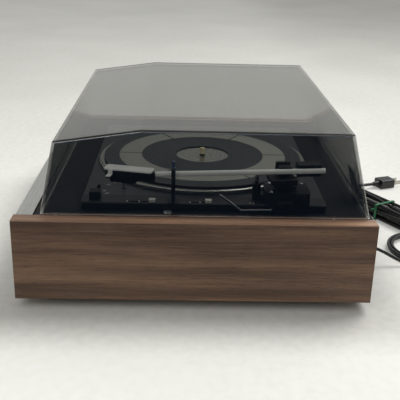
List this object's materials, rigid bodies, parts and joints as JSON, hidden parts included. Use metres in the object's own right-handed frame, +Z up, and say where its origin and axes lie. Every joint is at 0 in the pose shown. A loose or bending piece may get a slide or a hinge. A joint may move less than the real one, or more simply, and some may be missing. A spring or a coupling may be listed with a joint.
{
  "type": "record changer turntable",
  "caption": "Record changer in a walnut plinth with a hinged smoked dust cover, idler-driven platter, pivoted tonearm, levers and leads.",
  "frame": {"origin": "on the floor under the middle of the plinth's width and depth, with the leads left out", "axes": "+Z up, -Y towards the front trim, +X towards the tonearm side"},
  "size_m": [0.45, 0.5974, 0.197],
  "materials": {
    "aluminium": "brushed",
    "black_board": "flat black paint on board",
    "black_plastic": "moulded",
    "brass": "turned",
    "cable_pvc": "extruded",
    "chassis_paint": "fine charcoal enamel",
    "chrome": "polished",
    "clear_rubber": "moulded",
    "ivory_plastic": "moulded",
    "nylon": "moulded",
    "plain_board": "bare particle board",
    "rubber": "moulded",
    "smoked_acrylic": "polished",
    "steel": "plated",
    "tie_plastic": "twist tie",
    "walnut": "satin walnut veneer",
    "white_plastic": "moulded"
  },
  "bodies": {
    "root": {"arm_base": "black_plastic", "arm_rest": "black_plastic", "ball_race": "steel", "base_board": "plain_board", "bearing_post": "steel", "cam_stud": "steel", "chassis_plate": "chassis_paint", "cord_glands": "black_plastic", "corner_blocks": "plain_board", "cover_bumpers": "clear_rubber", "deck_board": "black_board", "foot_screws": "steel", "front_rail": "plain_board", "front_trim": "aluminium", "hank_tie": "tie_plastic", "hinge_leaves": "steel", "idler_arm": "steel", "mains_hank": "cable_pvc", "mains_lead": "cable_pvc", "mains_plug": "black_plastic", "motor_body": "steel", "motor_mounts": "rubber", "phono_coil": "cable_pvc", "phono_lead": "cable_pvc", "phono_plug": "black_plastic", "rear_rail": "black_board", "record_spindle": "steel", "rubber_feet": "rubber", "side_panels": "walnut", "spindle_cap": "ivory_plastic", "spring_brackets": "steel", "suspension_springs": "steel", "transit_screws": "chrome"},
    "cover": {"dust_cover": "smoked_acrylic", "cover_leaves": "steel"},
    "platter": {"platter": "aluminium", "platter_mat": "rubber", "mat_ring": "aluminium", "centre_disc": "aluminium"},
    "ledge": {"spindle_ledge": "ivory_plastic"},
    "idler": {"idler_wheel": "rubber"},
    "pulley": {"motor_pulley": "brass"},
    "cam": {"cam_gear": "nylon"},
    "arm_carrier": {"gimbal_yoke": "black_plastic"},
    "arm": {"tonearm_tube": "aluminium", "pivot_block": "black_plastic", "headshell": "black_plastic", "headshell_plate": "aluminium", "cartridge": "black_plastic", "stylus": "white_plastic", "counterweight": "black_plastic"},
    "latch": {"arm_latch": "chrome"},
    "cue": {"cue_lever": "steel"},
    "lift": {"lift_bar": "black_plastic"},
    "antiskate": {"antiskate_dial": "black_plastic"},
    "force": {"force_dial": "white_plastic"},
    "speed": {"speed_lever": "black_plastic"},
    "start": {"start_slider": "white_plastic"},
    "size": {"size_slider": "white_plastic"},
    "reject": {"reject_lever": "chrome"}
  },
  "joints": [
    {"name": "cover_open", "type": "hinge", "parent": "root", "child": "cover", "pos_m": [0, 0.1918, 0.1098], "axis": [-1, 0, 0], "range_deg": [0, 62]},
    {"name": "platter_spin", "type": "hinge", "parent": "root", "child": "platter", "pos_m": [0.021, 0.011, 0.1], "axis": [0, 0, 1], "continuous": true},
    {"name": "ledge_in", "type": "slide", "parent": "root", "child": "ledge", "axis": [0, 1, 0], "range_m": [0, 0.0028], "stiffness_N_per_m": 20},
    {"name": "idler_spin", "type": "hinge", "parent": "root", "child": "idler", "pos_m": [-0.02954, -0.02439, 0.1], "axis": [0, 0, 1], "continuous": true},
    {"name": "pulley_spin", "type": "hinge", "parent": "root", "child": "pulley", "pos_m": [-0.04069, -0.00508, 0.1], "axis": [0, 0, 1], "continuous": true},
    {"name": "cam_spin", "type": "hinge", "parent": "root", "child": "cam", "pos_m": [0.04973, 0.0351, 0.1], "axis": [0, 0, 1], "continuous": true},
    {"name": "arm_swing", "type": "hinge", "parent": "root", "child": "arm_carrier", "pos_m": [0.1695, 0.1, 0.145], "axis": [0, 0, -1], "range_deg": [0, 43]},
    {"name": "arm_lift", "type": "hinge", "parent": "arm_carrier", "child": "arm", "pos_m": [0.1695, 0.1, 0.145], "axis": [-0.9934, -0.1149, 0], "range_deg": [0, 8]},
    {"name": "latch_turn", "type": "hinge", "parent": "root", "child": "latch", "pos_m": [0.1895, -0.0245, 0.1532], "axis": [0, -1, 0], "range_deg": [0, 75]},
    {"name": "cue_turn", "type": "hinge", "parent": "root", "child": "cue", "pos_m": [0.1855, 0.084, 0.1066], "axis": [-1, 0, 0], "range_deg": [0, 25]},
    {"name": "lift_rise", "type": "slide", "parent": "root", "child": "lift", "axis": [0, 0, 1], "range_m": [0, 0.005]},
    {"name": "antiskate_turn", "type": "hinge", "parent": "root", "child": "antiskate", "pos_m": [0.1805, 0.099, 0.1126], "axis": [0, 0, 1], "range_deg": [0, 270]},
    {"name": "force_turn", "type": "hinge", "parent": "root", "child": "force", "pos_m": [0.1855, 0.118, 0.1181], "axis": [1, 0, 0], "range_deg": [0, 270]},
    {"name": "speed_slide", "type": "slide", "parent": "root", "child": "speed", "axis": [-1, 0, 0], "range_m": [0, 0.04]},
    {"name": "start_slide", "type": "slide", "parent": "root", "child": "start", "axis": [0, -1, 0], "range_m": [0, 0.025]},
    {"name": "size_slide", "type": "slide", "parent": "root", "child": "size", "axis": [0, -1, 0], "range_m": [0, 0.02]},
    {"name": "reject_tilt", "type": "hinge", "parent": "root", "child": "reject", "pos_m": [0.136, -0.0826, 0.1086], "axis": [1, 0, 0], "range_deg": [-8, 8], "stiffness_Nm_per_rad": 0.02}
  ],
  "couplings": [
    {"joint": "idler_spin", "follows": "platter_spin", "ratio": 4.4444},
    {"joint": "pulley_spin", "follows": "platter_spin", "ratio": -20},
    {"joint": "cam_spin", "follows": "platter_spin", "ratio": -0.5},
    {"joint": "lift_rise", "follows": "cue_turn", "m_per_rad": 0.011449}
  ]
}
